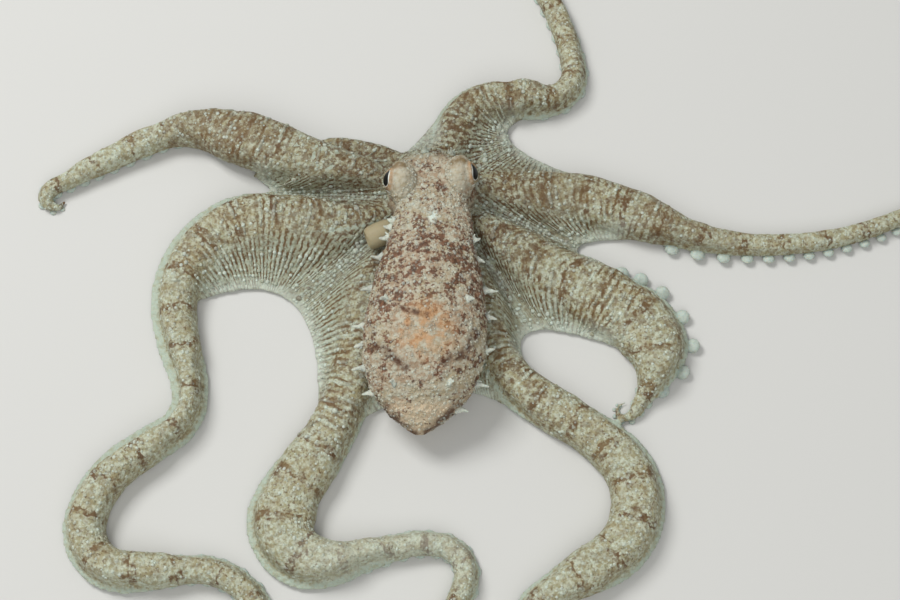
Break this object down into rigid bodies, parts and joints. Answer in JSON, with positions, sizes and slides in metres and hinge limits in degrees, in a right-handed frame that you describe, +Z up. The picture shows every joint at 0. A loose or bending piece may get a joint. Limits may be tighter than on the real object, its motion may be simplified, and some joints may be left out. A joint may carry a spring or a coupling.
{
  "type": "octopus",
  "caption": "Small algae octopus lying flat on the floor with its arms spread in loose curves, its web fanned between them and its pointed mantle to the rear, as a still museum model",
  "frame": {"origin": "on the floor under the mouth, on the flat sole of the arm crown", "axes": "+Z up, +Y the way the head faces, -Y the way the mantle points, +X the right side of the animal"},
  "size_m": [0.2588, 0.3148, 0.0201],
  "materials": {
    "skin": "soft moist skin, cream with red-brown mottling, satin",
    "funnel": "smooth tan skin, satin",
    "eye": "wet black and silver eye, glossy"
  },
  "bodies": {
    "root": {"arm_crown": "skin", "head": "skin", "mantle": "skin", "funnel": "funnel", "eye_left": "eye", "eye_right": "eye", "arm_left_1_part_1": "skin", "arm_left_1_part_2": "skin", "arm_left_2_part_1": "skin", "arm_left_2_part_2": "skin", "arm_left_2_part_3": "skin", "arm_left_3_part_1": "skin", "arm_left_3_part_2": "skin", "arm_left_3_part_3": "skin", "arm_left_3_part_4": "skin", "arm_left_3_part_5": "skin", "arm_left_4_part_1": "skin", "arm_left_4_part_2": "skin", "arm_left_4_part_3": "skin", "arm_left_4_part_4": "skin", "arm_right_1_part_1": "skin", "arm_right_1_part_2": "skin", "arm_right_1_part_3": "skin", "arm_right_2_part_1": "skin", "arm_right_2_part_2": "skin", "arm_right_2_part_3": "skin", "arm_right_3_part_1": "skin", "arm_right_3_part_2": "skin", "arm_right_4_part_1": "skin", "arm_right_4_part_2": "skin", "arm_right_4_part_3": "skin", "arm_right_4_part_4": "skin", "arm_right_4_part_5": "skin", "web_left_1_2": "skin", "web_left_2_3": "skin", "web_left_3_4": "skin", "web_rear": "skin", "web_right_3_4": "skin", "web_right_2_3": "skin", "web_right_1_2": "skin", "web_front": "skin"}
  },
  "joints": []
}
